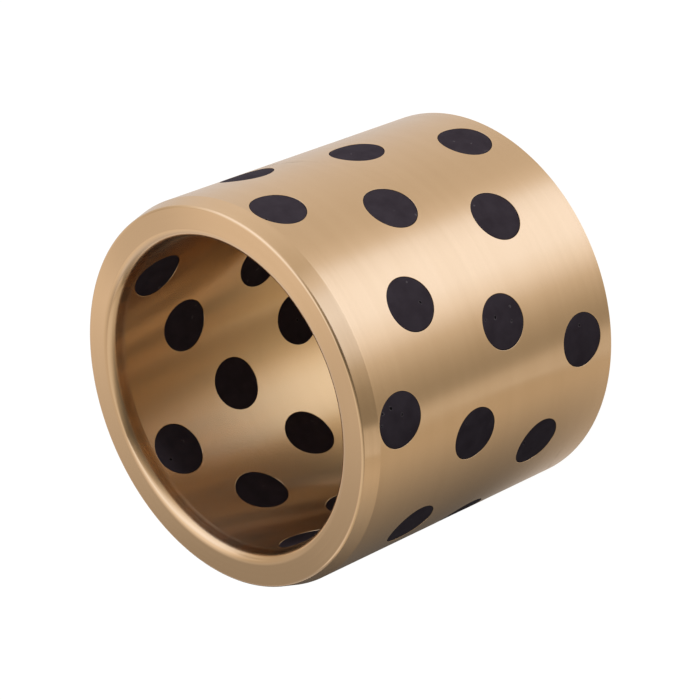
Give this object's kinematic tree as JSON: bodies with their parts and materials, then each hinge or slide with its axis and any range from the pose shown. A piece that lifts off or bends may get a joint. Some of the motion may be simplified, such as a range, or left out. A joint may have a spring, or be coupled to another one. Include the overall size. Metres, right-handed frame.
{
  "type": "graphite plugged bushing",
  "caption": "Plain cylindrical bronze bushing with solid graphite plugs set through its wall in staggered rings, flush with the bore and the outside, and a lead-in on its top end.",
  "frame": {"origin": "centre of the plain end face, on the bushing's axis; the bushing stands on this face", "axes": "+Z along the bushing's axis, from the plain end up to the end with the lead-in chamfers; +X through the middle of the first plug of the top ring"},
  "size_m": [0.056, 0.056, 0.05],
  "materials": {
    "bronze": "satin",
    "graphite": "matte"
  },
  "bodies": {
    "root": {"bronze_sleeve": "bronze", "graphite_plug_1a": "graphite", "graphite_plug_1b": "graphite", "graphite_plug_1c": "graphite", "graphite_plug_1d": "graphite", "graphite_plug_1e": "graphite", "graphite_plug_2a": "graphite", "graphite_plug_2b": "graphite", "graphite_plug_2c": "graphite", "graphite_plug_2d": "graphite", "graphite_plug_2e": "graphite", "graphite_plug_3a": "graphite", "graphite_plug_3b": "graphite", "graphite_plug_3c": "graphite", "graphite_plug_3d": "graphite", "graphite_plug_3e": "graphite", "graphite_plug_4a": "graphite", "graphite_plug_4b": "graphite", "graphite_plug_4c": "graphite", "graphite_plug_4d": "graphite", "graphite_plug_4e": "graphite", "graphite_plug_5a": "graphite", "graphite_plug_5b": "graphite", "graphite_plug_5c": "graphite", "graphite_plug_5d": "graphite", "graphite_plug_5e": "graphite", "graphite_plug_6a": "graphite", "graphite_plug_6b": "graphite", "graphite_plug_6c": "graphite", "graphite_plug_6d": "graphite", "graphite_plug_6e": "graphite"}
  },
  "joints": []
}
